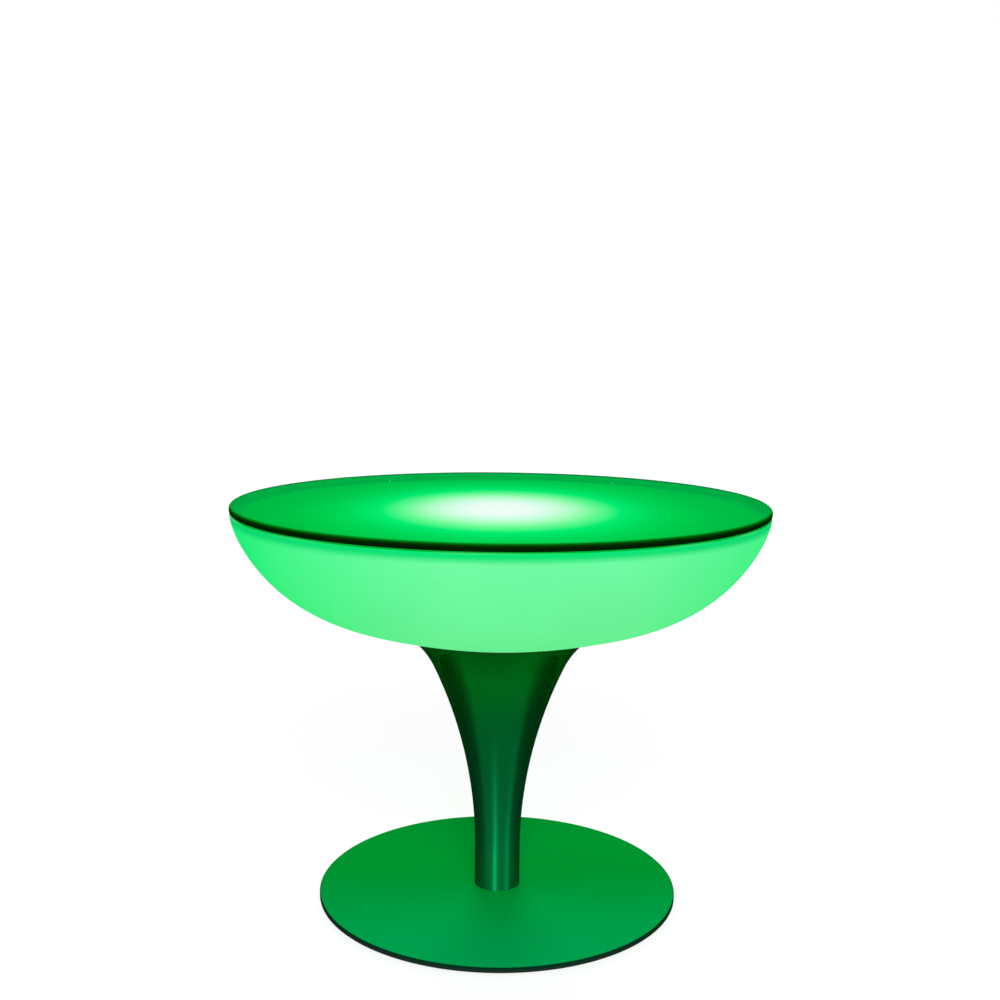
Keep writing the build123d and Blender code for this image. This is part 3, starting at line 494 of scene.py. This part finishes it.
finishes = {
    "base_metal": base_metal(),
    "column_metal": column_metal(),
    "lit_polyethylene": lit_polyethylene(),
    "top_glass": top_glass(),
    "lamp_lens": lamp_lens(),
    "clear_silicone": clear_silicone(),
    "plain_steel": plain_finish("plain_steel", (176, 180, 182), 0.3, metallic=1.0, grain=1500.0),
    "brass": plain_finish("brass", (196, 160, 92), 0.28, metallic=1.0, grain=1500.0),
    "black_rubber": plain_finish("black_rubber", (26, 28, 27), 0.72),
    "grey_silicone": plain_finish("grey_silicone", (150, 154, 155), 0.55),
    "white_plastic": plain_finish("white_plastic", (222, 226, 222), 0.45),
    "black_plastic": plain_finish("black_plastic", (34, 36, 35), 0.5, depth=0.00004),
    "socket_plastic": plain_finish("socket_plastic", (30, 31, 32), 0.25),
    "button_rubber": plain_finish("button_rubber", (70, 168, 108), 0.6),
    "cell_wrap": plain_finish("cell_wrap", (60, 120, 180), 0.3),
    "circuit_board": plain_finish("circuit_board", (26, 110, 62), 0.35),
    "aluminium_board": plain_finish("aluminium_board", (226, 228, 228), 0.4),
    "frosted_plastic": plain_finish("frosted_plastic", (212, 240, 224), 0.6),
    "lead_jacket": plain_finish("lead_jacket", (36, 36, 37), 0.6),
}
for name, piece in nodes.items():
    piece.data.materials.clear()
    piece.data.materials.append(finishes[slot_of[name]])


def add_object(name, data):
    """A new object in the scene."""
    added = bpy.data.objects.new(name, data)
    bpy.context.scene.collection.objects.link(added)
    return added


def around(azimuth, distance, height):
    """A point round the table: azimuth 0 is in front, 90 to the right."""
    angle = radians(azimuth)
    return (distance * sin(angle), -distance * cos(angle), height)


def make_camera():
    """Camera at the photograph's viewing angle."""
    data = bpy.data.cameras.new("camera")
    data.lens = camera_lens_mm
    data.sensor_width = camera_sensor_mm
    camera = add_object("camera", data)
    camera.matrix_world = (
        Matrix.Translation(camera_place)
        @ Matrix.Rotation(-camera_yaw, 4, "Z")
        @ Matrix.Rotation(pi / 2 - camera_pitch, 4, "X")
        @ Matrix.Rotation(camera_roll, 4, "Z")
    )
    bpy.context.scene.camera = camera


def seen_directly(tree):
    """1 for rays from the camera, from gloss and through clear things, else 0."""
    path = tree.nodes.new("ShaderNodeLightPath")
    seen = path.outputs["Is Camera Ray"]
    for ray in ("Is Glossy Ray", "Is Transmission Ray"):
        larger = tree.nodes.new("ShaderNodeMath")
        larger.operation = "MAXIMUM"
        tree.links.new(seen, larger.inputs[0])
        tree.links.new(path.outputs[ray], larger.inputs[1])
        seen = larger.outputs["Value"]
    return seen


def make_floor(reach=14.0, sides=96, bounce=0.6, shade_share=0.25):
    """Plain pale floor: part of its white is its own, the rest takes the table's shadow."""
    near, near_share = 0.8, 0.8
    far, far_share = 3.5, 0.97
    turns = [2 * pi * n / sides for n in range(sides)]
    mesh = bpy.data.meshes.new("floor")
    mesh.from_pydata([(reach * cos(t), reach * sin(t), 0) for t in turns], [], [range(sides)])
    floor = add_object("floor", mesh)
    s = Shading("floor")
    pale = s.diffuse(bounce)
    shaded = s.diffuse(shade_share)
    own_share = s.spread(s.radius(), near, far, near_share, far_share)
    own = s.add("ShaderNodeEmission", {"Strength": own_share})
    white = s.add("ShaderNodeAddShader", {0: shaded, 1: own.outputs["Emission"]})
    both = s.either(seen_directly(s.tree), pale, white.outputs["Shader"])
    mesh.materials.append(s.surface(both))


def make_flag(name, start, end, reach=1.1, height=2.4, steps=12, grey=0.03):
    """Dark screen beside the table and on the floor near it, seen in blurred gloss alone."""
    gap, above_floor = 0.02, 0.001
    profile = ((base_radius + gap, above_floor), (reach, above_floor), (reach, height))
    turns = [start + (end - start) * n / steps for n in range(steps + 1)]
    corners = [around(turn, away, level) for turn in turns for away, level in profile]
    rows = len(profile)
    faces = [
        (rows * n + m, rows * n + m + 1, rows * (n + 1) + m + 1, rows * (n + 1) + m)
        for n in range(steps)
        for m in range(rows - 1)
    ]
    mesh = bpy.data.meshes.new(name)
    mesh.from_pydata(corners, [], faces)
    flag = add_object(name, mesh)
    s = Shading(name)
    unseen = s.add("ShaderNodeBsdfTransparent").outputs["BSDF"]
    sharp = s.add("ShaderNodeLightPath").outputs["Is Singular Ray"]
    mesh.materials.append(s.surface(s.either(sharp, s.diffuse(grey), unseen)))
    flag.visible_camera = False
    flag.visible_diffuse = False
    flag.visible_transmission = False
    flag.visible_shadow = False


def make_world(fill=0.24):
    """White all round: full white where it is seen, softer as light."""
    world = bpy.data.worlds.new("studio")
    world.use_nodes = True
    tree = world.node_tree
    background = tree.nodes["Background"]
    background.inputs["Color"].default_value = (1.0, 1.0, 1.0, 1.0)
    strength = tree.nodes.new("ShaderNodeMapRange")
    tree.links.new(seen_directly(tree), strength.inputs["Value"])
    strength.inputs["To Min"].default_value = fill
    strength.inputs["To Max"].default_value = 1.0
    tree.links.new(strength.outputs["Result"], background.inputs["Strength"])
    bpy.context.scene.world = world


def make_lamp(name, place, aim, width, height, watts, gloss_of=None):
    """Rectangular lamp turned to a point: lights matt surfaces, or shows in one piece's gloss."""
    data = bpy.data.lights.new(name, "AREA")
    data.shape = "RECTANGLE"
    data.size = width
    data.size_y = height
    data.energy = watts
    lamp = add_object(name, data)
    lamp.location = place
    lamp.rotation_euler = (Vector(aim) - Vector(place)).to_track_quat("-Z", "Y").to_euler()
    lamp.visible_camera = False
    lamp.visible_diffuse = gloss_of is None
    lamp.visible_glossy = gloss_of is not None
    if gloss_of is not None:
        receivers = bpy.data.collections.new(name)
        receivers.objects.link(gloss_of)
        lamp.light_linking.receiver_collection = receivers


bpy.context.scene.view_settings.view_transform = "Standard"
make_camera()
make_floor()
make_world()
make_flag("left_flag", -64, -150)
make_flag("right_flag", 64, 150)

# Azimuth, distance and height of each soft lamp, then its side and its watts
soft_lamps = {
    "key": ((3, 2.6, 1.8), 1.4, 62.0),
    "back": ((183, 2.8, 2.0), 1.6, 52.0),
    "left_side": ((-100, 2.8, 1.8), 1.6, 6.0),
    "right_side": ((100, 2.8, 1.8), 1.6, 8.0),
}
middle = (0, 0, 0.3)
for name, (place, side, watts) in soft_lamps.items():
    make_lamp(name, around(*place), middle, side, side, watts)

# Place and watts of each narrow lamp. They draw the two streaks on the column
narrow_lamps = {"front_strip": ((-14, 1.9, 2.1), 115.0), "right_strip": ((60, 1.9, 2.1), 46.0)}
narrow_width, narrow_height = 0.05, 0.6
foot = (0, 0, 0.1)
column = nodes["trumpet_column"]
for name, (place, watts) in narrow_lamps.items():
    make_lamp(name, around(*place), foot, narrow_width, narrow_height, watts, gloss_of=column)
